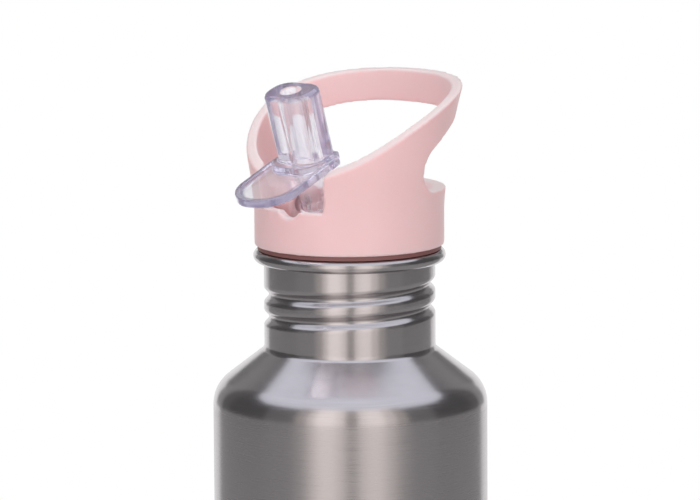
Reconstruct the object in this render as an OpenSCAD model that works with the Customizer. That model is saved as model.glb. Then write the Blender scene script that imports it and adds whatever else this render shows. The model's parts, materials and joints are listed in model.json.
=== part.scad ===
// Child's drinking bottle: single-wall steel body with a rolled screw neck, and a
// moulded cap with a carrying loop and a clear mouthpiece that flips up.
// Z = 0 is the resting plane, Z the bottle's axis, and the mouthpiece faces -Y.

/* [Steel body] */
// Outer diameter of the body
body_d = 71; // [66:0.5:80]
// Height of the rolled rim's top above the table
rim_top = 154; // [120:1:200]
// Thickness of the steel sheet
steel = 0.6; // [0.4:0.05:0.7]
// Outer diameter of the upper neck
neck_d = 44.3; // [43.9:0.1:45]
// Length of the neck from the rim's top to the shoulder's corner
neck_len = 25.8; // [25:0.1:34]
// Angle between the shoulder's cone and the bottle's axis
shoulder_angle = 52.5; // [40:0.5:65]
// Radius of the round from the shoulder into the body
shoulder_round = 9; // [4:0.5:14]
// Radius of the curled tube that forms the rim
bead_r = 1.65; // [1.4:0.05:1.9]
// Radius of the round at the foot
foot_round = 4; // [2.5:0.5:6]
// Width of the flat foot ring
foot_w = 2.5; // [2:0.1:5]
// How far the base is pressed up inside the foot ring
base_rise = 3.5; // [2:0.1:8]

/* [Screw thread] */
// Pitch of the rolled thread
pitch = 5.8; // [5.6:0.1:6.4]
// Half turns of the groove rolled into the neck
neck_half_turns = 4; // [3:1:4]
// Half turns of the ridge on the plug
plug_half_turns = 3; // [2:1:3]
// Depth of the middle of the groove's top end below the rim's top
groove_top = 7.45; // [6.8:0.05:8]
// Radius of the rolled groove's section
groove_r = 1.5; // [1.2:0.05:1.6]
// Depth of the groove below the neck's surface
groove_depth = 1.35; // [1.1:0.05:1.4]
// Radius of the plug ridge's section
ridge_r = 1; // [0.8:0.05:1.05]

/* [Cap] */
// How far the skirt stands back from the rolled rim's outer edge
cap_inset = 0.35; // [0.1:0.05:0.6]
// Gap between the rim's top and the skirt's lower edge
cap_gap = 0.85; // [0.6:0.05:1.2]
// Wall of the cap's skirt and side panels
cap_wall = 2.9; // [2.4:0.1:3.2]
// Height of the deck above the skirt's lower edge
deck_z = 15.2; // [14.5:0.1:18]
// Thickness of the deck
deck_t = 2.5; // [1.8:0.1:3]
// Height of the panels' straight rim line where it crosses the bottle's axis
rim_z = 37.1; // [34:0.1:39]
// Rise of that line towards the back
rim_angle = 35.1; // [30:0.1:37]
// Rise of the rim along the back of the loop
loop_angle = 2; // [1:0.1:8]
// Where the two rim lines cross, measured back from the axis
rim_break_y = 7.5; // [4:0.1:9]
// Radius of the bend between the two rim lines
rim_round = 87; // [30:1:100]
// Height of the loop's band at the back
loop_band = 8.2; // [6:0.1:10]
// Front of the finger window, measured back from the axis
window_y = -0.7; // [-2:0.1:3]
// Radius of the window's rounded front end
window_round = 6; // [4:0.1:7]
// Width of the front notch at its floor
notch_w = 20; // [19.4:0.1:20.8]
// Width of the front notch where it meets the rim
notch_top_w = 21.6; // [20.8:0.1:22.4]
// Height of the notch's floor above the skirt's lower edge
notch_z = 11.3; // [9.5:0.1:12]

/* [Mouthpiece] */
// Height of the hinge above the skirt's lower edge
hinge_z = 11.7; // [11.4:0.1:12.5]
// Forward lean of the open mouthpiece
lean = 17.8; // [12:0.1:20]
// Radius of the ball that turns in the valve seat
ball_r = 4.4; // [4.1:0.05:4.8]
// Radius of the hinge pins moulded on the ball
pin_r = 2; // [1.5:0.05:2.4]
// Radial clearance of the hinge pins
pin_play = 0.05; // [0.03:0.01:0.09]
// Width of the drinking tube
tube_w = 14.5; // [13:0.1:15]
// Depth of the drinking tube, front to back
tube_d = 10.9; // [9:0.1:11.6]
// Distance from the hinge to the tube's tip
tube_top = 32.1; // [29:0.1:35]
// Radius of the bore through the tube
bore_r = 2.75; // [2:0.05:3]
// Distance from the hinge to the top of the finger tab's rim
tab_top = 13.3; // [12.8:0.1:13.6]
// Thickness of the tab at its rim
tab_t = 2.2; // [1.8:0.1:2.4]
// Depth of the dish in the tab's top face
tab_dish = 0.8; // [0.4:0.1:1]
// Width of the raised rim round the dish
tab_rim = 1.5; // [1.2:0.1:2.4]
// How much further the tab slopes down than a plane across the tube
tab_slope = 3; // [0:0.5:5]
// Reach of the tab in front of the tube's axis
tab_reach = 23.2; // [20:0.1:25]
// Half width of the tab
tab_half = 9.2; // [8.8:0.1:9.4]
// Distance from the hinge to the top of the collar round the tube
collar_top = 13.9; // [13.7:0.1:14.4]

/* [Plug, seals and straw] */
// Gap between the threaded sleeve and the neck's bore, which the ridge fills
sleeve_gap = 1.65; // [1.6:0.05:1.9]
// Wall of the threaded sleeve
sleeve_wall = 2.5; // [2:0.1:2.6]
// Depth of the sleeve below the skirt's lower edge
sleeve_len = 16; // [15.6:0.1:18]
// Thickness of the plug's disc
disc_t = 2.5; // [2:0.1:3]
// Height of the seal ring standing inside the skirt
seal_seat = 1.1; // [0.9:0.05:1.3]
// Outer radius of the straw
straw_r = 4; // [3.6:0.1:4.2]
// Wall of the straw
straw_wall = 1; // [0.8:0.1:1.2]
// Gap between the straw and the sleeve's wall
straw_gap = 0.4; // [0.2:0.1:0.8]
// Gap between the straw's end and the table
straw_end = 9; // [7:0.5:30]
// Radius of the air valve's flap
vent_r = 4.5; // [3.5:0.1:5]

/* [Hidden] */
$fn = 96;

// Steel
body_r = body_d / 2;
neck_r = neck_d / 2;
bore_neck_r = neck_r - steel;
bead_z = rim_top - bead_r;
bead_mid_r = bore_neck_r + bead_r;
shoulder_top = rim_top - neck_len;
shoulder_low = shoulder_top - (body_r - neck_r) / tan(shoulder_angle);
neck_round = 1.5;
curl_start = 175;
curl_end = -130;
foot_in_r = body_r - foot_round - foot_w;
base_lap_r = body_r - foot_round - steel / 2;
base_bend = 2;
base_slope = 5;

// Thread
thread_start = 133;
groove_mid_r = neck_r - groove_depth + groove_r;
groove_z = rim_top - groove_top;
ridge_low = groove_z - pitch;

// Cap: heights are given above the skirt's lower edge and moved up by cap_z
cap_z = rim_top + cap_gap;
cap_r = bead_mid_r + bead_r - cap_inset;
seal_gap = 0.1;
skirt_lip = 0.75;
seal_r = cap_r - skirt_lip;
seal_play = 0.15;
sleeve_r = bore_neck_r - sleeve_gap;
hinge_y = sleeve_r - sleeve_wall - straw_r - straw_gap;
seal_in_r = sleeve_r + 0.5;
flange_r = cap_r - cap_wall + 0.1;
ledge_w = 1.2;
join = 0.5;
disc_top = seal_seat + disc_t;
flare = [[0, 0], [9.8, 0], [16, 0.55], [23, 1.65], [33, 2.9], [42.6, 5.2], [47, 6.4], [52, 7.8]];
far = 60;
ear_gap = 0.7;
ear_half = ball_r + ear_gap;
ear_r = pin_r + 2.1;
pin_reach = ear_half + 3.2;
pin_end = 0.3;
well_half = tab_half + 1.4;
well_y = 2.5;
trough_half = tube_w / 2 + 0.8;
tube_shift = 0.2;
trough_low = tube_d / 2 + tube_shift + 0.7;
rib = 1.8;
front_z = notch_z - 0.2;
lid_gap = 0.2;
well_wall_y = 15;
skirt_edge = 0.5;
notch_side_z = 22.9;
notch_top_round = 2.2;
notch_flare = 28;
notch_corner = 0.7;
notch_flare_z = notch_side_z + (far - notch_top_w / 2) * tan(notch_flare);
scoop_depth = 1.6;
scoop_r = 4.6;
fold = 90;

// Mouthpiece, in its own frame: the hinge at the origin, the tube along +Z
neck_part_r = ball_r - 0.5;
tube_corner = 4.6;
tab_low = tab_top - tab_t;
root_z = 5.6;
root_r = 4.6;
tab_back = 3.6;
tab_corner = 1;
function tab_outline(inset) =
    let (half = tab_half - inset, back = tab_back - inset, reach = tab_reach - inset)
    rounded([[half, back, tab_corner], [-half, back, tab_corner],
             [-half, -reach, half - 0.6], [half, -reach, half - 0.6]], 10);
collar_half = tube_w / 2 + 0.7;
collar_back = 4.4;
collar_front = 7.9;
collar_corner = 0.8;
collar_round = 6;
collar_outline = rounded([[collar_half, collar_back, collar_corner],
                          [-collar_half, collar_back, collar_corner],
                          [-collar_half, -collar_front, collar_round],
                          [collar_half, -collar_front, collar_round]], 8);

// Plug
boss_r = ball_r + 2.2;
boss_up = 1.3;
boss_play = 0.3;
seat_r = ball_r + 0.6;
seat_low = hinge_z - ball_r - 2.2;
seat_h = 3.4;
seat_play = 0.15;
flow_r = 2;
nipple_r = straw_r - straw_wall;
nipple_len = 9;
straw_top = -1;
vent_y = 9;
vent_t = 0.8;
vent_stem_r = 1.2;
vent_ring_r = 2.4;
vent_pad_r = vent_ring_r + 1.1;
vent_hole_r = 0.5;
vent_bead = 0.5;

// ---------- outlines ----------
function unit(v) = v / norm(v);

// Points of the arc of radius r that rounds the corner p between the sides to a and b
function corner(a, p, b, r, n) =
    r <= 0 ? [p] :
    let (u = unit(a - p), v = unit(b - p), half = acos(u * v) / 2,
         c = p + unit(u + v) * r / sin(half),
         s = p + u * r / tan(half) - c, e = p + v * r / tan(half) - c,
         a0 = atan2(s[1], s[0]), turn = atan2(e[1], e[0]) - a0,
         sweep = turn > 180 ? turn - 360 : turn < -180 ? turn + 360 : turn)
    [for (i = [0 : n]) c + r * [cos(a0 + sweep * i / n), sin(a0 + sweep * i / n)]];

// A line through [x, y, radius] points with each inner corner rounded
function rounded_line(pts, n = 6) =
    [for (i = [0 : len(pts) - 1])
        each (i == 0 || i == len(pts) - 1) ? [[pts[i][0], pts[i][1]]] :
            corner([pts[i-1][0], pts[i-1][1]], [pts[i][0], pts[i][1]],
                   [pts[i+1][0], pts[i+1][1]], pts[i][2], n)];

// A closed outline through [x, y, radius] points
function rounded(pts, n = 6) =
    [for (i = [0 : len(pts) - 1])
        let (a = pts[(i + len(pts) - 1) % len(pts)], b = pts[(i + 1) % len(pts)])
        each corner([a[0], a[1]], [pts[i][0], pts[i][1]], [b[0], b[1]], pts[i][2], n)];

function arc(c, r, a0, a1, n) = [for (i = [0 : n]) let (t = a0 + (a1 - a0) * i / n) c + r * [cos(t), sin(t)]];

function backwards(pts) = [for (i = [len(pts) - 1 : -1 : 0]) pts[i]];

// Smooth curve through points
function spline_point(a, b, c, d, t) =
    0.5 * (2 * b + (c - a) * t + (2 * a - 5 * b + 4 * c - d) * t * t + (3 * b - a - 3 * c + d) * t * t * t);
function spline(pts, n) =
    [for (i = [1 : len(pts) - 3], k = [0 : n - 1]) spline_point(pts[i-1], pts[i], pts[i+1], pts[i+2], k / n),
     pts[len(pts) - 2]];

module revolve(points) { rotate_extrude() polygon(points); }

// ---------- thread ----------
// Half a turn: a half ring tipped so that its ends differ by half a pitch in height
module half_turn(mid_r, r, rise) {
    tip = atan(rise / (2 * mid_r));
    rotate([0, tip, 0])
        rotate_extrude(angle = 180)
            translate([mid_r, 0]) circle(r = r);
}

// A right-hand thread that climbs from its lower end, as half turns that meet on one diameter
module thread(mid_r, r, low_z, halves, start) {
    for (i = [0 : halves - 1])
        translate([0, 0, low_z + (i + 0.5) * pitch / 2])
            rotate([0, 0, start + 180 * i])
                half_turn(mid_r, r, pitch / 2);
    for (end = [0, halves])
        translate([0, 0, low_z + end * pitch / 2])
            rotate([0, 0, start + 180 * end])
                translate([mid_r, 0, 0]) sphere(r = r);
}

// ---------- steel ----------
sheet_out = [[foot_in_r, 0, 0], [body_r, 0, foot_round], [body_r, shoulder_low, shoulder_round],
             [neck_r, shoulder_top, neck_round], [neck_r, bead_z, 0]];

// Moves a corner of the sheet's line to its other side
function inner_point(a, p, b, t) =
    let (u = unit([p[0] - a[0], p[1] - a[1]]), v = unit([b[0] - p[0], b[1] - p[1]]),
         n = [-u[1], u[0]], m = [-v[1], v[0]], s = u[0] * v[1] - u[1] * v[0])
    [p[0] + (n[0] + m[0]) * t / (1 + n * m), p[1] + (n[1] + m[1]) * t / (1 + n * m),
     p[2] + (s > 0 ? -t : t)];
sheet_in = [[foot_in_r, steel, 0],
            for (i = [1 : len(sheet_out) - 2])
                inner_point(sheet_out[i-1], sheet_out[i], sheet_out[i+1], steel),
            [bore_neck_r, bead_z, 0]];
bead_mid = [bead_mid_r, bead_z];
sheet = concat(rounded_line(sheet_out),
               arc(bead_mid, bead_r - steel, curl_start, curl_end, 14),
               arc(bead_mid, bead_r, curl_end, curl_start, 18),
               backwards(rounded_line(sheet_in)));

module neck_thread(r) {
    thread(groove_mid_r, r, groove_z - neck_half_turns * pitch / 2, neck_half_turns,
           thread_start - 180 * neck_half_turns);
}

module bottle_body() {
    color("silver")
        difference() {
            union() {
                revolve(sheet);
                intersection() {
                    neck_thread(groove_r + steel);
                    translate([0, 0, shoulder_top])
                        cylinder(r = neck_r - steel / 2, h = neck_len - 2 * bead_r);
                }
            }
            neck_thread(groove_r);
        }
}

module bottle_base() {
    line = rounded_line([[base_lap_r, steel, 0], [foot_in_r - join, steel, base_bend],
                         [foot_in_r - base_slope, base_rise, base_slope], [0, base_rise, 0]]);
    color("silver") revolve(concat(line, backwards([for (p = line) p + [0, steel]])));
}

// ---------- seals and plug ----------
module seal_ring() {
    color("rosybrown")
        translate([0, 0, cap_z - cap_gap + seal_gap])
            difference() {
                cylinder(r = seal_r, h = cap_gap - seal_gap + seal_seat);
                translate([0, 0, -1]) cylinder(r = seal_in_r, h = cap_gap + seal_seat + 2);
            }
}

module nipple() {
    translate([0, -hinge_y, -nipple_len]) cylinder(r = nipple_r, h = nipple_len + seal_seat + join);
}

module thread_plug() {
    color("pink")
        translate([0, 0, cap_z])
            difference() {
                union() {
                    translate([0, 0, seal_seat]) cylinder(r = flange_r, h = disc_t);
                    translate([0, 0, -sleeve_len]) cylinder(r = sleeve_r, h = sleeve_len + seal_seat + join);
                    translate([0, 0, -cap_z])
                        thread(sleeve_r, ridge_r, ridge_low, plug_half_turns, thread_start + 180);
                    translate([0, -hinge_y, disc_top - join])
                        cylinder(r = boss_r, h = seat_low - disc_top + boss_up);
                    nipple();
                    translate([0, vent_y, disc_top - join]) cylinder(r = vent_pad_r, h = 2 * join);
                }
                difference() {
                    translate([0, 0, -sleeve_len - 1])
                        cylinder(r = sleeve_r - sleeve_wall, h = sleeve_len + seal_seat + 1);
                    nipple();
                }
                translate([0, -hinge_y, -nipple_len - 1]) cylinder(r = flow_r, h = nipple_len + hinge_z);
                translate([0, -hinge_y, seat_low]) cylinder(r = seat_r, h = ball_r);
                translate([0, vent_y, 0]) cylinder(r = vent_stem_r, h = hinge_z);
                for (t = [0 : 90 : 270])
                    translate([0, vent_y, 0]) rotate([0, 0, t + 45])
                        translate([vent_ring_r, 0, 0]) cylinder(r = vent_hole_r, h = hinge_z);
            }
}

module valve_seat() {
    color("whitesmoke")
        translate([0, -hinge_y, cap_z + seat_low])
            difference() {
                cylinder(r = seat_r, h = seat_h);
                translate([0, 0, -1]) cylinder(r = flow_r, h = seat_h + 2);
                translate([0, 0, hinge_z - seat_low]) sphere(r = ball_r + seat_play);
            }
}

module air_valve() {
    color("whitesmoke")
        translate([0, vent_y, cap_z + seal_seat]) {
            translate([0, 0, -vent_t]) cylinder(r = vent_r, h = vent_t);
            cylinder(r = vent_stem_r, h = disc_t + join);
            translate([0, 0, disc_t + join])
                cylinder(r1 = vent_stem_r + vent_bead, r2 = vent_stem_r - 0.2, h = 1.2);
        }
}

module straw() {
    color("white")
        translate([0, -hinge_y, straw_end])
            difference() {
                cylinder(r = straw_r, h = cap_z + straw_top - straw_end);
                translate([0, 0, -1]) cylinder(r = nipple_r, h = cap_z);
            }
}

// ---------- cap ----------
function rim_at(y) = rim_z + y * tan(rim_angle);
rim_break = [rim_break_y, rim_at(rim_break_y)];
function loop_at(y) = rim_break[1] + (y - rim_break_y) * tan(loop_angle);

// Side view of all that lies under the rim, as [y, z]
rim_side = concat(rounded_line([[-far, rim_at(-far), 0], [rim_break[0], rim_break[1], rim_round],
                                [far, loop_at(far), 0]], 12), [[far, -far], [-far, -far]]);

// Side view of the finger window
window_mid = [window_y + window_round, deck_z + window_round];
window_up = window_mid + window_round * [-sin(rim_angle), cos(rim_angle)];
function window_line(y) = window_up[1] + (y - window_up[0]) * tan(rim_angle);
function band_line(y) = loop_at(y) - loop_band;
window_break_y = (band_line(0) - window_line(0)) / (tan(rim_angle) - tan(loop_angle));
window_break = [window_break_y, band_line(window_break_y)];
window_bend = 0.97 * norm(window_break - window_up) / tan((rim_angle - loop_angle) / 2);
window_side = concat([[far, deck_z]], arc(window_mid, window_round, 270, 90 + rim_angle, 12),
                     corner(window_up, window_break, [far, band_line(far)], window_bend, 8),
                     [[far, band_line(far)]]);

// Pushes a [y, z] side view across the whole cap
module across(points, half = far) {
    translate([-half, 0, 0]) rotate([90, 0, 90]) linear_extrude(2 * half) polygon(points);
}

wall_line = spline([for (p = flare) [cap_r + p[1], p[0]]], 3);
wall_top = wall_line[len(wall_line) - 1][1];

// The frame of the mouthpiece when folded: +Y along its tube, its front face upward
module folded() {
    translate([0, -hinge_y, hinge_z]) rotate([90 - fold + lean, 0, 0]) children();
}

module slab(half_x, y0, y1, z0, z1) { translate([-half_x, y0, z0]) cube([2 * half_x, y1 - y0, z1 - z0]); }

// Skirt and side panels up to the rim line
module cap_outside() {
    intersection() {
        revolve(concat([[0, 0], [cap_r - skirt_edge, 0], [cap_r, skirt_edge]],
                       [for (p = wall_line) if (p[1] > 1) p], [[0, wall_top]]));
        across(rim_side);
    }
}

// Space between the side panels, above the deck
module panel_space() {
    revolve(concat([[0, deck_z]],
                   [for (p = wall_line) if (p[1] > deck_z) [p[0] - cap_wall, p[1]]], [[0, wall_top + 1]]));
}

module front_notch() {
    translate([0, -far / 4, 0]) rotate([90, 0, 0]) linear_extrude(far) {
        polygon(rounded([[-notch_w / 2, notch_z, notch_corner], [notch_w / 2, notch_z, notch_corner],
                         [notch_top_w / 2, notch_side_z, notch_top_round], [far, notch_flare_z, 0],
                         [-far, notch_flare_z, 0], [-notch_top_w / 2, notch_side_z, notch_top_round]]));
        translate([0, notch_z + scoop_r - scoop_depth]) circle(r = scoop_r);
    }
}

// Ears that carry the hinge pins
module ears() {
    for (side = [-1, 1]) {
        x0 = side > 0 ? ear_half : -well_half - 1;
        translate([x0, -hinge_y, hinge_z]) {
            rotate([0, 90, 0]) cylinder(r = ear_r, h = well_half + 1 - ear_half);
            translate([0, -ear_r, disc_top + lid_gap - hinge_z])
                cube([well_half + 1 - ear_half, 2 * ear_r, hinge_z - disc_top - lid_gap]);
        }
    }
}

// Skirt, panels and deck, with the seats for the seal ring and the plug cut from below
module cap_hollowed() {
    difference() {
        cap_outside();
        panel_space();
        across(window_side);
        front_notch();
        translate([0, 0, -1]) cylinder(r = seal_r + seal_play, h = 1 + seal_seat);
        cylinder(r = flange_r, h = disc_top);
        cylinder(r = flange_r - ledge_w, h = deck_z - deck_t);
    }
}

// Walls of the hinge well and floor of the trough, hung from the deck
module deck_ribs() {
    intersection() {
        translate([0, 0, disc_top + lid_gap])
            cylinder(r = flange_r - ledge_w / 2, h = deck_z - disc_top - lid_gap - 0.2);
        union() {
            slab(well_half + rib, -cap_r, well_y + rib, 0, front_z);
            slab(well_half + rib, -well_wall_y, well_y + rib, 0, far);
            folded() slab(trough_half + rib, 0, far, -trough_low - rib, 0);
        }
    }
}

module cap_shell() {
    color("pink")
        translate([0, 0, cap_z])
            difference() {
                union() {
                    difference() {
                        union() {
                            cap_hollowed();
                            deck_ribs();
                        }
                        intersection() {
                            cylinder(r = cap_r - cap_wall, h = far);
                            slab(well_half, -cap_r, well_y, 0, far);
                        }
                        folded() slab(trough_half, 0, tube_top + 1, -trough_low, tube_d);
                    }
                    ears();
                }
                translate([0, -hinge_y, hinge_z])
                    rotate([0, 90, 0])
                        cylinder(r = pin_r + pin_play, h = 2 * (pin_reach + pin_end), center = true);
                translate([0, -hinge_y, 0]) cylinder(r = boss_r + boss_play, h = seat_low + boss_up + boss_play);
            }
}

// ---------- mouthpiece ----------
module oval(w, d, r) {
    polygon(rounded([for (v = [[-w, -d], [w, -d], [w, d], [-w, d]]) [v[0] / 2, v[1] / 2, r]]));
}

module finger_tab() {
    difference() {
        translate([0, 0, tab_low]) linear_extrude(tab_t) polygon(tab_outline(0));
        translate([0, 0, tab_top - tab_dish]) linear_extrude(2 * tab_dish) polygon(tab_outline(tab_rim));
    }
}

module mouthpiece() {
    color("lavender")
        translate([0, -hinge_y, cap_z + hinge_z])
            difference() {
                union() {
                    sphere(r = ball_r);
                    rotate([0, 90, 0]) cylinder(r = pin_r, h = 2 * pin_reach, center = true);
                    rotate([lean, 0, 0]) {
                        revolve([[0, 0], [neck_part_r, 0], [neck_part_r, root_z],
                                 [root_r, tab_low + tab_t / 2], [0, tab_low + tab_t / 2]]);
                        translate([0, 0, tab_low + tab_t / 2])
                            linear_extrude(collar_top - tab_low - tab_t / 2) polygon(collar_outline);
                        translate([0, tube_shift, tab_low + tab_t / 2])
                            linear_extrude(tube_top - tab_low - tab_t / 2) oval(tube_w, tube_d, tube_corner);
                    }
                    rotate([lean + tab_slope, 0, 0]) finger_tab();
                }
                rotate([lean, 0, 0]) translate([0, 0, -0.5]) cylinder(r = bore_r, h = tube_top + 1);
                rotate([180, 0, 0]) cylinder(r = flow_r, h = ball_r + 1);
            }
}

bottle_body();
bottle_base();
seal_ring();
thread_plug();
valve_seat();
air_valve();
straw();
cap_shell();
mouthpiece();
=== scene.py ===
"""Child's drinking bottle: brushed steel body, satin pink cap and clear flip-up mouthpiece.

The CAD pieces keep their places. Three of them get finer meshes here, and all of them get materials."""

import json
from math import atan2, cos, pi, radians, sin, tan

import bpy
import numpy as np
from mathutils import Matrix, Vector


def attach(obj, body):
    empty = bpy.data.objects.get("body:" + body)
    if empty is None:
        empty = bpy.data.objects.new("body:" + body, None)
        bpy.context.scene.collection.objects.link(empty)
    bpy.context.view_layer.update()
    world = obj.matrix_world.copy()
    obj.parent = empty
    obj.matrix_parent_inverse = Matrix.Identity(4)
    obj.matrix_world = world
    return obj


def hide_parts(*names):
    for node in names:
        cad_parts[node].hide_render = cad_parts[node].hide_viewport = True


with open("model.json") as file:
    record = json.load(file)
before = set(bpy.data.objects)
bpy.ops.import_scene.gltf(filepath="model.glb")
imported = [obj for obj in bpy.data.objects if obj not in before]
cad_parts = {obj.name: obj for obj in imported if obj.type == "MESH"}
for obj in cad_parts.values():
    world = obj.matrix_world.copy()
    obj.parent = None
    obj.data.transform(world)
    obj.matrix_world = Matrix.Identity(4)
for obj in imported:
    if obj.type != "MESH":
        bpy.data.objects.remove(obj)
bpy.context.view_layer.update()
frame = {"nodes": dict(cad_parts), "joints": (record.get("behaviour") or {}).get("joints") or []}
nodes = frame["nodes"]

# ---------- camera, in metres ----------
AZIMUTH = radians(40)
ELEVATION = radians(8.7)
ROLL = radians(-0.35)
DISTANCE = 1.3
SHOWN_WIDTH = 0.1807
AIM = Vector((0.0001, 0.0001, 0.1534))
SENSOR_WIDTH = 36
CLIP_END = 20


def add_camera():
    """A far camera at an azimuth from the front, -Y, with the photo's framing."""
    data = bpy.data.cameras.new("camera")
    data.sensor_width = SENSOR_WIDTH
    data.lens = SENSOR_WIDTH * DISTANCE / SHOWN_WIDTH
    data.clip_end = CLIP_END
    camera = bpy.data.objects.new("camera", data)
    bpy.context.scene.collection.objects.link(camera)
    away = Vector((sin(AZIMUTH) * cos(ELEVATION), -cos(AZIMUTH) * cos(ELEVATION), sin(ELEVATION)))
    turn = away.to_track_quat("Z", "Y").to_matrix().to_4x4()
    camera.matrix_world = Matrix.Translation(AIM + DISTANCE * away) @ turn @ Matrix.Rotation(ROLL, 4, "Z")
    bpy.context.scene.camera = camera


add_camera()

# ---------- node helpers ----------


class Tree:
    """A short way to build a node tree."""

    def __init__(self, node_tree):
        self.node_tree = node_tree
        node_tree.nodes.clear()

    def add(self, kind, inputs=None, **settings):
        """A new node with its own settings. An input is a number, a vector, a colour or a node's output."""
        node = self.node_tree.nodes.new(kind)
        for name, value in settings.items():
            setattr(node, name, value)
        for name, value in (inputs or {}).items():
            if isinstance(value, bpy.types.NodeSocket):
                self.node_tree.links.new(value, node.inputs[name])
            else:
                node.inputs[name].default_value = value
        return node

    def math(self, operation, a, b=0.0):
        return self.add("ShaderNodeMath", {0: a, 1: b}, operation=operation).outputs[0]

    def noise(self, place, scale, detail=2.0):
        texture = self.add("ShaderNodeTexNoise", {"Vector": place, "Scale": scale, "Detail": detail})
        return texture.outputs["Fac"]

    def spread(self, value, low, high, start=0.3, end=0.7):
        """value from start..end mapped to low..high. The defaults are where a noise varies most."""
        return self.add("ShaderNodeMapRange", {"Value": value, 1: start, 2: end, 3: low, 4: high}).outputs[0]

    def stretched(self, place, scale):
        """place with its three directions scaled apart."""
        return self.add("ShaderNodeMapping", {"Vector": place, "Scale": scale}).outputs[0]

    def place(self):
        """A point's place on the object, in metres."""
        return self.add("ShaderNodeTexCoord").outputs["Object"]

    def painted(self, name):
        """The number that paint() kept on the mesh."""
        return self.add("ShaderNodeAttribute", attribute_name=name).outputs["Fac"]

    def blend(self, amount, first, second):
        """A mix of two colours, which are the Mix node's inputs 6 and 7."""
        return self.add("ShaderNodeMix", {0: amount, 6: first, 7: second}, data_type="RGBA").outputs[2]


def new_material(name):
    material = bpy.data.materials.new(name)
    material.use_nodes = True
    return material, Tree(material.node_tree)


# ---------- stage, in metres; angles are degrees from the camera's side, positive to its right ----------
WHITE = (1, 1, 1, 1)
WORLD_LIGHT = 0.53
FLOOR_SIZE = 12
FLOOR_GREY = (0.8, 0.8, 0.8, 1)
FLOOR_GLOW = 0.3
SHADOW_IN = 0.24
SHADOW_OUT = 0.36


def seen_directly(tree):
    """1 where the camera, a reflection or a clear piece looks, 0 for plain light."""
    path = tree.add("ShaderNodeLightPath")
    seen = tree.math("ADD", path.outputs["Is Camera Ray"], path.outputs["Is Glossy Ray"])
    seen = tree.math("ADD", seen, path.outputs["Is Transmission Ray"])
    return tree.math("MINIMUM", seen, 1.0)


def set_world():
    """White to look at, and a dimmer, even light on the object."""
    world = bpy.data.worlds.new("studio")
    bpy.context.scene.world = world
    world.use_nodes = True
    tree = Tree(world.node_tree)
    dim = tree.add("ShaderNodeBackground", {"Color": WHITE, "Strength": WORLD_LIGHT})
    white = tree.add("ShaderNodeBackground", {"Color": WHITE, "Strength": 1.0})
    mix = tree.add("ShaderNodeMixShader", {0: seen_directly(tree), 1: dim.outputs[0], 2: white.outputs[0]})
    tree.add("ShaderNodeOutputWorld", {"Surface": mix.outputs[0]})


def add_floor():
    """White, with the object's shadow kept round its foot."""
    bpy.ops.mesh.primitive_plane_add(size=FLOOR_SIZE, location=(0, 0, 0))
    floor = bpy.context.object
    floor.name = "floor"
    material, tree = new_material("floor")
    matt = tree.add("ShaderNodeBsdfDiffuse", {"Color": FLOOR_GREY})
    white = tree.add("ShaderNodeEmission", {"Color": WHITE, "Strength": 1.0})
    glow = tree.add("ShaderNodeEmission", {"Color": WHITE, "Strength": FLOOR_GLOW})
    lifted = tree.add("ShaderNodeAddShader", {0: matt.outputs[0], 1: glow.outputs[0]})
    reach = tree.add("ShaderNodeVectorMath", {0: tree.place()}, operation="LENGTH").outputs["Value"]
    outer = tree.spread(reach, 0.0, 1.0, SHADOW_IN, SHADOW_OUT)
    eye = tree.add("ShaderNodeMixShader", {0: outer, 1: lifted.outputs[0], 2: white.outputs[0]})
    mix = tree.add("ShaderNodeMixShader", {0: seen_directly(tree), 1: matt.outputs[0], 2: eye.outputs[0]})
    tree.add("ShaderNodeOutputMaterial", {"Surface": mix.outputs[0]})
    floor.data.materials.append(material)


set_world()
add_floor()

# ---------- cards: what the steel reflects ----------
CARD_STEP = 15
WALL_R = 1.0
WALL_END = 150
# the grey up to each angle, and the height at each angle
WALL_GREYS = ((75, 0.2), (120, 0.1), (135, 0.14), (150, 0.35))
WALL_TOPS = ((0, 1.03), (95, 0.82), (136, 1.26), (150, 1.3))
BACK_GREY = 0.22
BACK_GAP = 0.34
BOX_R = 0.56
BOX_TOP = 0.62
BOX_TINT = (1.06, 1.0, 0.95)
# columns from a start to an end angle, with their level
BOXES = {"left": ((-46, -36, 0.5), (-36, -29, 0.95), (-29, -12, 1.4), (-12, -4, 1.15)),
         "between": ((-4, 6, 0.42),),
         "right": ((6, 13, 1.15), (13, 28, 1.3), (28, 38, 0.9), (38, 48, 0.5))}
GLARE = 0.62
GLARE_Z = 0.0012
SKY = (1.04, 1.08, 1.18)
SKY_Z = 1.6
SKY_HALF = 3
TABLE_GREY = 0.37
TABLE_R = 0.95
TABLE_Z = 0.0008
TABLE_END = 140
TABLE_STEP = 10


def add_card(name, corners, color):
    """A glowing card that only reflections see."""
    mesh = bpy.data.meshes.new(name)
    mesh.from_pydata(corners, [], [tuple(range(len(corners)))])
    card = bpy.data.objects.new(name, mesh)
    bpy.context.scene.collection.objects.link(card)
    material, tree = new_material(name)
    glow = tree.add("ShaderNodeEmission", {"Color": (*color, 1), "Strength": 1.0})
    tree.add("ShaderNodeOutputMaterial", {"Surface": glow.outputs[0]})
    mesh.materials.append(material)
    card.visible_camera = False
    card.visible_diffuse = False
    card.visible_transmission = False
    card.visible_shadow = False


def around(angle, radius, z):
    """A point of the stage by its angle, its distance from the axis and its height."""
    a = AZIMUTH + radians(angle)
    return (radius * sin(a), -radius * cos(a), z)


def upright(name, start, end, radius, tops, color, foot=0.0):
    """A standing card between two angles. tops are the heights of its two upper corners."""
    add_card(name, [around(start, radius, foot), around(end, radius, foot),
                    around(end, radius, tops[1]), around(start, radius, tops[0])], color)


def grey(level):
    return (level, level, level)


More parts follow.
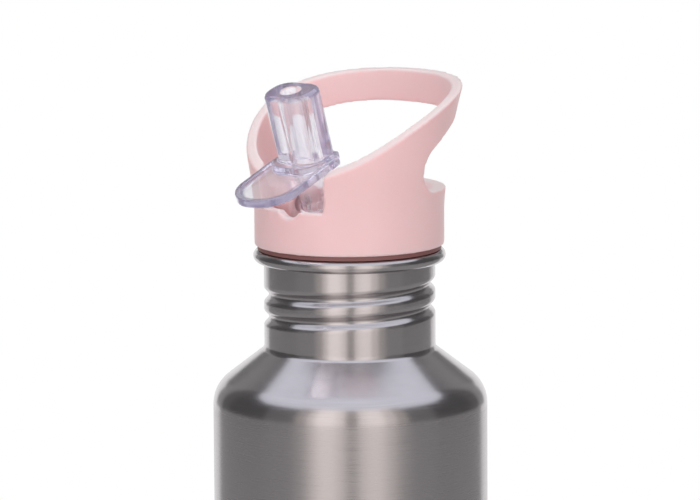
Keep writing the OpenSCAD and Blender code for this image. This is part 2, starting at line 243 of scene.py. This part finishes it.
def add_walls():
    """Dark walls all round, open low down behind the object."""
    angles, heights = zip(*WALL_TOPS)
    for start in range(-WALL_END, WALL_END, CARD_STEP):
        end = start + CARD_STEP
        tops = np.interp((abs(start), abs(end)), angles, heights)
        level = next(g for limit, g in WALL_GREYS if max(abs(start), abs(end)) <= limit)
        upright("card_wall", start, end, WALL_R, tops, grey(level))
    tops = (heights[-1], heights[-1])
    for start in range(WALL_END, 360 - WALL_END, CARD_STEP):
        upright("card_back", start, start + CARD_STEP, WALL_R, tops, grey(BACK_GREY), BACK_GAP)


def add_boxes():
    """Soft boxes in columns, each with its glare on the table."""
    for side, columns in BOXES.items():
        for start, end, level in columns:
            color = [level * c for c in BOX_TINT]
            upright("card_box_" + side, start, end, BOX_R, (BOX_TOP, BOX_TOP), color)
            glare = [max(TABLE_GREY, GLARE * c) for c in color]
            corners = [(0, 0, GLARE_Z), around(start, BOX_R, GLARE_Z), around(end, BOX_R, GLARE_Z)]
            add_card("card_glare_" + side, corners, glare)


def add_sky():
    """A bright ceiling."""
    signs = ((-1, -1), (1, -1), (1, 1), (-1, 1))
    add_card("card_sky", [(x * SKY_HALF, y * SKY_HALF, SKY_Z) for x, y in signs], SKY)


def add_table():
    """A grey table top that is open behind the object."""
    rim = [around(a, TABLE_R, TABLE_Z) for a in range(-TABLE_END, TABLE_END + 1, TABLE_STEP)]
    add_card("card_table", [(0, 0, TABLE_Z)] + rim, grey(TABLE_GREY))


add_walls()
add_boxes()
add_sky()
add_table()

# ---------- lamps ----------
WARM = (1.0, 0.96, 0.93)
COOL = (0.92, 0.94, 1.0)
LAMP_AIM = Vector((0, 0, 0.13))
LAMPS = {
    "overhead": dict(angle=180, height=1.0, distance=0.12, width=1.05, length=1.1, power=4.4, color=COOL),
    "front_panel": dict(angle=0, height=0.78, distance=0.85, width=0.75, length=0.5, power=1.5, color=COOL),
    "strip_left": dict(angle=-27, height=0.15, distance=0.9, width=0.26, length=0.8, power=2.0, color=WARM),
    "strip_right": dict(angle=27, height=0.15, distance=0.9, width=0.28, length=0.8, power=1.8, color=WARM),
}


def add_lamp(name, angle, height, distance, width, length, power, color):
    """A soft rectangular lamp turned to LAMP_AIM. The cards stand for it in reflections."""
    data = bpy.data.lights.new(name, "AREA")
    data.shape = "RECTANGLE"
    data.size = width
    data.size_y = length
    data.energy = power
    data.color = color
    lamp = bpy.data.objects.new(name, data)
    bpy.context.scene.collection.objects.link(lamp)
    lamp.location = around(angle, distance, height)
    aim = LAMP_AIM - lamp.location
    lamp.rotation_euler = aim.to_track_quat("-Z", "Y").to_euler()
    lamp.visible_glossy = False


for name, lamp in LAMPS.items():
    add_lamp(name, **lamp)

# ---------- steel: heights and depths in metres ----------
BODY_TINT = (0.505, 0.476, 0.488)
BASE_TINT = (0.52, 0.49, 0.50)
BODY_BRUSHING = 0.08
BASE_BRUSHING = 0.06
# the brushed lines go round the axis, one after another with the height and with this share of the radius
RADIUS_SHARE = 0.8
FINE_LINES = (3.0, 6500.0, 1.0)
BROAD_LINES = (1.2, 420.0, 1.0)
FINE_SHARE = 0.9
LINE_DEPTH = 0.00003
STEEL_ROUGHNESS = (0.26, 0.32)
STEEL_TONES = (0.94, 1.04)
SPUN_FROM = 0.1125
SPUN_BLEND = 0.002
SPUN_ROUGHNESS = 0.75


def steel_material(name, brushing, tint):
    """Stainless steel, finely brushed round the bottle's axis, and smoother on the spun shoulder and neck."""
    material, tree = new_material(name)
    xyz = tree.add("ShaderNodeSeparateXYZ", {0: tree.place()})
    x, y, z = xyz.outputs
    angle = tree.math("ARCTAN2", y, x)
    squares = tree.math("ADD", tree.math("MULTIPLY", x, x), tree.math("MULTIPLY", y, y))
    radius = tree.math("SQRT", squares)
    across = tree.math("ADD", z, tree.math("MULTIPLY", radius, RADIUS_SHARE))
    lines = tree.add("ShaderNodeCombineXYZ", {0: angle, 1: across, 2: 0.0}).outputs[0]
    fine = tree.noise(tree.stretched(lines, FINE_LINES), scale=1.0, detail=4.0)
    broad = tree.noise(tree.stretched(lines, BROAD_LINES), scale=1.0, detail=3.0)
    fine_part = tree.math("MULTIPLY", fine, FINE_SHARE)
    both = tree.math("ADD", fine_part, tree.math("MULTIPLY", broad, 1 - FINE_SHARE))
    bump = tree.add("ShaderNodeBump", {"Height": both, "Strength": brushing, "Distance": LINE_DEPTH})
    spun = tree.spread(z, 1.0, SPUN_ROUGHNESS, SPUN_FROM, SPUN_FROM + SPUN_BLEND)
    tone = tree.spread(both, *STEEL_TONES)
    color = tree.add("ShaderNodeVectorMath", {0: tint, 1: tone}, operation="MULTIPLY")
    tangent = tree.add("ShaderNodeTangent", direction_type="RADIAL", axis="Z")
    shader = tree.add("ShaderNodeBsdfPrincipled", {
        "Base Color": color.outputs[0], "Metallic": 1.0,
        "Roughness": tree.math("MULTIPLY", tree.spread(both, *STEEL_ROUGHNESS), spun),
        "Anisotropic": 0.6, "Anisotropic Rotation": 0.25, "Tangent": tangent.outputs[0],
        "Normal": bump.outputs[0]})
    tree.add("ShaderNodeOutputMaterial", {"Surface": shader.outputs[0]})
    return material


# ---------- moulded plastics ----------
GRAIN_SCALE = 3200.0
GRAIN_DEPTH = 0.00008
GLOSS_SCALE = 60.0
GLOSS_CHANGE = 0.03
TONE_SCALE = 25.0
PLASTIC_TONES = (0.985, 1.01)


def linear(r, g, b):
    """An sRGB colour, 0 to 255, as linear RGBA."""
    def one(v):
        v = v / 255
        return v / 12.92 if v <= 0.04045 else ((v + 0.055) / 1.055) ** 2.4
    return (one(r), one(g), one(b), 1.0)


def plastic_material(name, color, roughness, subsurface, grain=0.05, rim=None):
    """Satin moulded plastic: fine spark-eroded grain, slow changes of gloss and a trace of tone.

    rim is a paler colour painted on its rims as a highlight of the light from above, where the mesh's rim
    attribute is 1."""
    material, tree = new_material(name)
    place = tree.place()
    cloud = tree.noise(place, GLOSS_SCALE)
    bump = tree.add("ShaderNodeBump", {"Height": tree.noise(place, GRAIN_SCALE, detail=3.0),
                                       "Strength": grain, "Distance": GRAIN_DEPTH})
    tone = tree.spread(tree.noise(place, TONE_SCALE), *PLASTIC_TONES)
    # where the rim attribute is 1, the paler rim colour is a painted highlight of the light from above
    plain = tree.blend(tree.painted("rim"), color, rim) if rim else color[:3]
    tinted = tree.add("ShaderNodeVectorMath", {0: plain, 1: tone}, operation="MULTIPLY")
    shader = tree.add("ShaderNodeBsdfPrincipled", {
        "Base Color": tinted.outputs[0],
        "Roughness": tree.spread(cloud, roughness - GLOSS_CHANGE, roughness + GLOSS_CHANGE),
        "Normal": bump.outputs[0], "Subsurface Weight": subsurface, "Subsurface Radius": (1.0, 0.55, 0.5),
        "Subsurface Scale": 0.0025, "IOR": 1.49})
    tree.add("ShaderNodeOutputMaterial", {"Surface": shader.outputs[0]})
    return material


# ---------- clear plastic ----------
LEAN = radians(17.8)
CLEAR = (0.955, 0.94, 0.965, 1)
# the darker colour of the clear plastic is painted shade for its edges, flow lines and slanted sides
CLEAR_PAINTED_SHADE = (0.45, 0.43, 0.52, 1)
CLEAR_ROUGHNESS = (0.02, 0.06)
CLEAR_ROUGHNESS_SCALE = 90.0
FLOW_LINES = (520, 520, 22)
FLOW_DEPTH = 0.0005
CAUGHT_AFTER = 3.5
# the last two spread the painted shade: along the flow lines, and over the sides seen at a slant
# each as low, high, start and end for Tree.spread()
FLOW_BUMP = (0.02, 0.5, 0.0, 1.0)
FLOW_PAINTED_SHADE = (0.0, 0.6, 0.54, 0.68)
FACING_PAINTED_SHADE = (0.0, 1.0, 0.6, 1.0)


def clear_material():
    """Clear plastic with a faint lavender tint, and with flow lines along its leaning tube, as bumps and as
    painted shade.

    It has painted shade, a darker colour for the dark lines of its refraction: at its painted edges, along
    the tube's flow lines and where it is seen at a slant.
    A ray with more than three glossy bounces behind it meets a faint painted glow, which stands for light
    caught in the edges."""
    material, tree = new_material("clear_plastic")
    place = tree.place()
    along_tube = tree.add("ShaderNodeMapping", {"Vector": place, "Rotation": (-LEAN, 0, 0)}).outputs[0]
    flow = tree.noise(tree.stretched(along_tube, FLOW_LINES), scale=1.0, detail=1.0)
    tube = tree.painted("tube")
    bump = tree.add("ShaderNodeBump", {"Height": flow, "Strength": tree.spread(tube, *FLOW_BUMP),
                                       "Distance": FLOW_DEPTH})
    # a faint painted glow where a ray has bounced many times: it stands for light caught in the edges
    depth = tree.add("ShaderNodeLightPath").outputs["Glossy Depth"]
    facing = tree.add("ShaderNodeLayerWeight", {"Blend": 0.5}).outputs["Facing"]
    # painted shade: darker at the painted edges, at a slant and along the tube's flow lines
    edge = tree.math("MAXIMUM", tree.painted("edge"), tree.spread(facing, *FACING_PAINTED_SHADE))
    edge = tree.math("MAXIMUM", edge, tree.math("MULTIPLY", tube, tree.spread(flow, *FLOW_PAINTED_SHADE)))
    shader = tree.add("ShaderNodeBsdfPrincipled", {
        "Base Color": tree.blend(edge, CLEAR, CLEAR_PAINTED_SHADE),
        "Roughness": tree.spread(tree.noise(place, CLEAR_ROUGHNESS_SCALE), *CLEAR_ROUGHNESS),
        "Normal": bump.outputs[0], "Transmission Weight": 0.93, "IOR": 1.5,
        "Coat Weight": 1.0, "Coat Roughness": 0.06, "Emission Color": (0.21, 0.19, 0.27, 1),
        "Emission Strength": tree.math("GREATER_THAN", depth, CAUGHT_AFTER)})
    tint = tree.add("ShaderNodeVolumeAbsorption", {"Color": (0.80, 0.75, 0.87, 1), "Density": 26.0})
    tree.add("ShaderNodeOutputMaterial", {"Surface": shader.outputs[0], "Volume": tint.outputs[0]})
    return material


# ---------- what each CAD node wears ----------
MATERIALS = {
    "steel": steel_material("steel", BODY_BRUSHING, BODY_TINT),
    "base": steel_material("steel_base", BASE_BRUSHING, BASE_TINT),
    # the cap's paler rim colour is a painted highlight of the light from above on its upward rims
    "pink": plastic_material("pink_cap", linear(235, 196, 197), roughness=0.42, subsurface=0.4,
                             rim=linear(229, 212, 211)),
    "plug": plastic_material("pink_plug", linear(228, 186, 188), roughness=0.45, subsurface=0.2),
    # the seal's dark rose is painted shade: the pink seal as it looks in the shade under the cap
    "seal": plastic_material("rose_seal", linear(128, 82, 80), roughness=0.5, subsurface=0.0, grain=0.02),
    "silicone": plastic_material("clear_silicone", linear(226, 224, 220), roughness=0.4, subsurface=0.3,
                                 grain=0.01),
    "straw": plastic_material("straw_plastic", linear(232, 232, 230), roughness=0.3, subsurface=0.2,
                              grain=0.01),
    "clear": clear_material(),
}
DRESS = {"bottle_body": "steel", "bottle_base": "base", "seal_ring": "seal", "thread_plug": "plug",
         "valve_seat": "silicone", "air_valve": "silicone", "straw": "straw", "cap_shell": "pink",
         "mouthpiece": "clear"}
for name, dress in DRESS.items():
    nodes[name].data.materials.clear()
    nodes[name].data.materials.append(MATERIALS[dress])

# ---------- geometry helpers; from here on, sizes are in millimetres ----------
MM = 0.001


def add_mesh(name, points, faces, material, body, slot_name, *stands_for):
    """A smooth piece of the object that stands for CAD nodes and rides on their body."""
    mesh = bpy.data.meshes.new(name)
    mesh.from_pydata((points * MM).tolist(), [], faces)
    mesh.shade_smooth()
    piece = bpy.data.objects.new(name, mesh)
    bpy.context.scene.collection.objects.link(piece)
    mesh.materials.append(material)
    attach(piece, body)
    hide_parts(*stands_for)
    return piece


def upward(piece):
    """How far the surface faces up at each point, 1 being straight up."""
    out = np.empty(len(piece.data.vertices) * 3)
    piece.data.vertices.foreach_get("normal", out)
    return out.reshape(-1, 3)[:, 2]


def paint(piece, name, values):
    """Keeps one number per point on the mesh, for its material."""
    attribute = piece.data.attributes.new(name, "FLOAT", "POINT")
    attribute.data.foreach_set("value", np.clip(values, 0, 1))


def eased(t):
    """t limited to 0..1, with a soft start and end."""
    t = np.clip(t, 0, 1)
    return t * t * (3 - 2 * t)


def fade(value, start, end):
    """0 up to start, 1 from end on."""
    return eased((value - start) / (end - start))


def band(value, start, full, last, end):
    """1 from full to last, and 0 outside start..end."""
    return fade(value, start, full) * fade(-value, -end, -last)


def unit(v):
    return v / np.linalg.norm(v)


def on_circle(middle, radius, angle):
    return middle + radius * np.array((cos(angle), sin(angle)))


def turned(point, previous, following, radius, steps):
    """The arc that rounds the corner at point."""
    corner, before, after = (np.array(v, float) for v in (point, previous, following))
    if radius <= 0:
        return [corner]
    back = unit(before - corner)
    ahead = unit(after - corner)
    half = np.arccos(np.clip(back @ ahead, -1, 1)) / 2
    middle = corner + unit(back + ahead) * radius / sin(half)
    first = corner + back * radius / tan(half) - middle
    last = corner + ahead * radius / tan(half) - middle
    start = atan2(first[1], first[0])
    sweep = (atan2(last[1], last[0]) - start + pi) % (2 * pi) - pi
    return [on_circle(middle, radius, start + sweep * i / steps) for i in range(steps + 1)]


def rounded_line(points, steps):
    """A line through (x, y, radius) points with its inner corners rounded."""
    line = [np.array(points[0][:2], float)]
    for before, corner, after in zip(points, points[1:], points[2:]):
        line += turned(corner[:2], before[:2], after[:2], corner[2], steps)
    return line + [np.array(points[-1][:2], float)]


def resampled(line, coarse, fine, fine_above):
    """The same line with long sides cut into equal lengths, fine ones above a height."""
    out = [line[0]]
    for a, b in zip(line, line[1:]):
        step = fine if min(a[1], b[1]) > fine_above else coarse
        cuts = max(1, int(np.ceil(np.linalg.norm(b - a) / step)))
        out += [a + (b - a) * (i + 1) / cuts for i in range(cuts)]
    return out


def offset_line(line, distance):
    """The line moved to its left by distance."""
    out = []
    for i, point in enumerate(line):
        along = unit(line[min(i + 1, len(line) - 1)] - line[max(i - 1, 0)])
        out.append(point + distance * np.array((-along[1], along[0])))
    return out


# ---------- steel body ----------
BODY_R = 35.5
NECK_R = 22.15
STEEL = 0.6
RIM_TOP = 154.0
NECK_LEN = 25.8
NECK_FOOT = RIM_TOP - NECK_LEN
SHOULDER_ANGLE = radians(52.5)
SHOULDER_ROUND = 9.0
NECK_ROUND = 1.9
FOOT_ROUND = 4.0
FOOT_W = 2.5
BEAD_R = 1.65
BEAD_Z = RIM_TOP - BEAD_R
CURL_START = radians(175)
CURL_END = radians(-130)
# where the round edge of the curled sheet has its points
TIP_ANGLES = (-0.6, -1.2, -1.57, -1.95, -2.5)
PITCH = 5.8
GROOVE_TOP = 7.45
GROOVE_TURNS = 2
GROOVE_START = radians(133)
GROOVE_DEPTH = 1.3
GROOVE_HALF = 2.05
RUN_OUT = radians(38)
RUN_OUT_BEYOND = 0.7
AROUND = 304
CORNER_STEPS = 14
CURL_STEPS = 30
SIDE_STEP = 4.0
NECK_STEP = 0.45
BEAD_SLACK = 0.01


def groove(angle, z):
    """Depth of the rolled thread at points of the neck: a helix that fades out at both ends."""
    low = RIM_TOP - GROOVE_TOP - GROOVE_TURNS * PITCH
    depth = np.zeros_like(z)
    turn = (angle - GROOVE_START) % (2 * pi)
    beyond = RUN_OUT * RUN_OUT_BEYOND
    for lap in range(-1, GROOVE_TURNS + 1):
        along = turn + 2 * pi * lap
        run_in = np.clip((along + beyond) / RUN_OUT, 0, 1)
        run_out = np.clip((2 * pi * GROOVE_TURNS + beyond - along) / RUN_OUT, 0, 1)
        away = np.abs(z - low - PITCH * along / (2 * pi)) / GROOVE_HALF
        shape = np.where(away < 1, 0.5 + 0.5 * np.cos(pi * np.minimum(away, 1)), 0)
        depth = np.maximum(depth, GROOVE_DEPTH * eased(run_in * run_out) * shape)
    return depth


def outer_line():
    """The shell's outer side from the foot up to the curl, as (radius, height) points."""
    shoulder_foot = NECK_FOOT - (BODY_R - NECK_R) / tan(SHOULDER_ANGLE)
    corners = [(BODY_R - FOOT_ROUND - FOOT_W, 0, 0), (BODY_R, 0, FOOT_ROUND),
               (BODY_R, shoulder_foot, SHOULDER_ROUND), (NECK_R, NECK_FOOT, NECK_ROUND), (NECK_R, BEAD_Z, 0)]
    return resampled(rounded_line(corners, CORNER_STEPS), SIDE_STEP, NECK_STEP, NECK_FOOT)


def curled_rim():
    """The sheet curled outwards over the rim: its hidden side, its rolled tip and its outer side."""
    middle = np.array((NECK_R - STEEL + BEAD_R, BEAD_Z))
    sweep = np.linspace(CURL_START, CURL_END, CURL_STEPS)
    hidden = [on_circle(middle, BEAD_R - STEEL, a) for a in sweep]
    end = on_circle(middle, BEAD_R - STEEL / 2, CURL_END)
    tip = [on_circle(end, STEEL / 2, CURL_END + pi + t) for t in TIP_ANGLES]
    outer = [on_circle(middle, BEAD_R, a) for a in sweep[::-1]]
    return hidden + tip + outer


def steel_body():
    """The closed outline turned round the axis, with the groove pressed through both sides of the neck."""
    outside = outer_line()
    inside = offset_line(outside, STEEL)
    outline = np.array(outside[:-1] + curled_rim() + inside[::-1][1:])
    angles = np.linspace(0, 2 * pi, AROUND, endpoint=False)
    radius, angle = np.meshgrid(outline[:, 0], angles)
    z = np.meshgrid(outline[:, 1], angles)[0]
    neck_wall = (np.abs(radius - NECK_R + STEEL / 2) < STEEL) & (z < BEAD_Z + BEAD_SLACK)
    radius = radius - np.where(neck_wall, groove(angle, z), 0)
    points = np.stack((radius * np.cos(angle), radius * np.sin(angle), z), -1).reshape(-1, 3)
    count = len(outline)
    faces = []
    for i in range(AROUND):
        here = i * count
        beside = (i + 1) % AROUND * count
        for j in range(count):
            following = (j + 1) % count
            faces.append((here + j, beside + j, beside + following, here + following))
    add_mesh("steel_body", points, faces, MATERIALS["steel"], "bottle", "steel", "bottle_body")


steel_body()

# ---------- moulded pieces ----------
SOFTENING = 0.5


def remeshed(name, node, voxel, rounds):
    """A copy of a CAD node as a fine, even mesh whose edges are softened: its points and faces."""
    source = nodes[node]
    mesh = source.data.copy()
    mesh.transform(source.matrix_world)
    work = bpy.data.objects.new(name + "_work", mesh)
    bpy.context.scene.collection.objects.link(work)
    remesh = work.modifiers.new("even", "REMESH")
    remesh.mode = "VOXEL"
    remesh.voxel_size = voxel * MM
    smooth = work.modifiers.new("soft", "SMOOTH")
    smooth.factor = SOFTENING
    smooth.iterations = rounds
    depsgraph = bpy.context.evaluated_depsgraph_get()
    done = bpy.data.meshes.new_from_object(work.evaluated_get(depsgraph))
    bpy.data.objects.remove(work)
    points = np.empty(len(done.vertices) * 3)
    done.vertices.foreach_get("co", points)
    faces = [tuple(p.vertices) for p in done.polygons]
    bpy.data.meshes.remove(done)
    return points.reshape(-1, 3) / MM, faces


# ---------- cap: what faces up, high enough and far enough from the axis, gets a painted highlight, the paler rim colour ---
CAP_Z = 154.85
SKIRT_R = 24.5
CAP_VOXEL = 0.39
CAP_ROUNDS = 9
HIGHLIGHT_UP = (0.0, 0.95)
HIGHLIGHT_Z = (CAP_Z + 6, CAP_Z + 8)
HIGHLIGHT_R = (SKIRT_R - 4.0, SKIRT_R - 2.2)


def cap():
    points, faces = remeshed("cap", "cap_shell", CAP_VOXEL, CAP_ROUNDS)
    piece = add_mesh("cap", points, faces, MATERIALS["pink"], "lid", "pink_cap", "cap_shell")
    reach = np.hypot(points[:, 0], points[:, 1])
    # the rim attribute marks where the painted highlight goes: faces that look up, high on the cap and near
    # its skirt
    paint(piece, "rim", fade(upward(piece), *HIGHLIGHT_UP) * fade(points[:, 2], *HIGHLIGHT_Z) * fade(reach, *HIGHLIGHT_R))


cap()

# ---------- spout: in its own axes, which start at the hinge and lean forward with the tube ----------
HINGE = next(np.array(joint["pos_m"]) / MM for joint in frame["joints"] if joint["name"] == "spout_flip")
TO_OWN = np.array(((1, 0, 0), (0, cos(LEAN), sin(LEAN)), (0, -sin(LEAN), cos(LEAN))))
SPOUT_VOXEL = 0.206
SPOUT_ROUNDS = 6
BORE_R = 2.75
BORE_LAND = 0.2
TUBE_TOP = 32.1
TUBE_ROUND = 1.3
ROUND_SHARE = 0.98
ROUND_WIDTH = 1.6
TAB_TOP = 13.3
TAB_REACH = 23.2
TAB_HALF = 9.2
TAB_RIM = 1.5
COLLAR_TOP = 13.9
MOUTH_Z = (TUBE_TOP - 1.6, TUBE_TOP - 0.6)
MOUTH_R = (BORE_R + 0.1, BORE_R + 0.5)
TAB_Z = (7.5, 9.5, TAB_TOP + 0.2, TAB_TOP + 1.2)
TAB_EDGE = (0.94, 1.06)
COLLAR_R = (6.0, 7.2, 8.6, 9.6)
COLLAR_Z = (11.5, 12.5, COLLAR_TOP + 0.1, COLLAR_TOP + 0.5)
FLOW_Z = (COLLAR_TOP + 0.2, COLLAR_TOP + 1.5, TUBE_TOP - 2.4, TUBE_TOP - 1.2)


def round_tube_end(own, reach):
    """Draws the tube's outer edge in at its top, and leaves the bore as it is."""
    high = np.clip((own[:, 2] - TUBE_TOP + TUBE_ROUND) / TUBE_ROUND, 0, 1)
    inset = TUBE_ROUND * (1 - np.sqrt(1 - high ** 2 * ROUND_SHARE))
    weight = np.clip((reach - BORE_R - BORE_LAND) / ROUND_WIDTH, 0, 1)
    scale = 1 - weight * inset / np.maximum(reach, BORE_R)
    own[:, 0] *= scale
    own[:, 1] *= scale


def painted_shade_edges(own, reach):
    """1 on the tube's mouth, the finger tab's rim and the collar, where the clear plastic gets its painted
    shade.
    """
    height = own[:, 2]
    mouth = fade(height, *MOUTH_Z) * fade(reach, *MOUTH_R)
    front = -own[:, 1]
    inner_half = TAB_HALF - TAB_RIM
    straight = np.abs(own[:, 0]) / inner_half
    tip = np.hypot(own[:, 0], front - TAB_REACH + TAB_HALF) / inner_half
    outward = np.where(front > TAB_REACH - TAB_HALF, tip, straight)
    tab = band(height, *TAB_Z) * fade(outward, *TAB_EDGE)
    collar = band(reach, *COLLAR_R) * band(height, *COLLAR_Z)
    return np.maximum(mouth, np.maximum(tab, collar))


def spout():
    points, faces = remeshed("spout", "mouthpiece", SPOUT_VOXEL, SPOUT_ROUNDS)
    own = (points - HINGE) @ TO_OWN.T
    reach = np.hypot(own[:, 0], own[:, 1])
    round_tube_end(own, reach)
    piece = add_mesh("spout", own @ TO_OWN + HINGE, faces, MATERIALS["clear"], "spout", "clear_plastic",
                     "mouthpiece")
    piece.visible_shadow = False
    paint(piece, "tube", band(own[:, 2], *FLOW_Z))
    # the edge attribute marks where the clear plastic's painted shade goes
    paint(piece, "edge", painted_shade_edges(own, reach))


spout()

bpy.context.scene.view_settings.view_transform = "Standard"
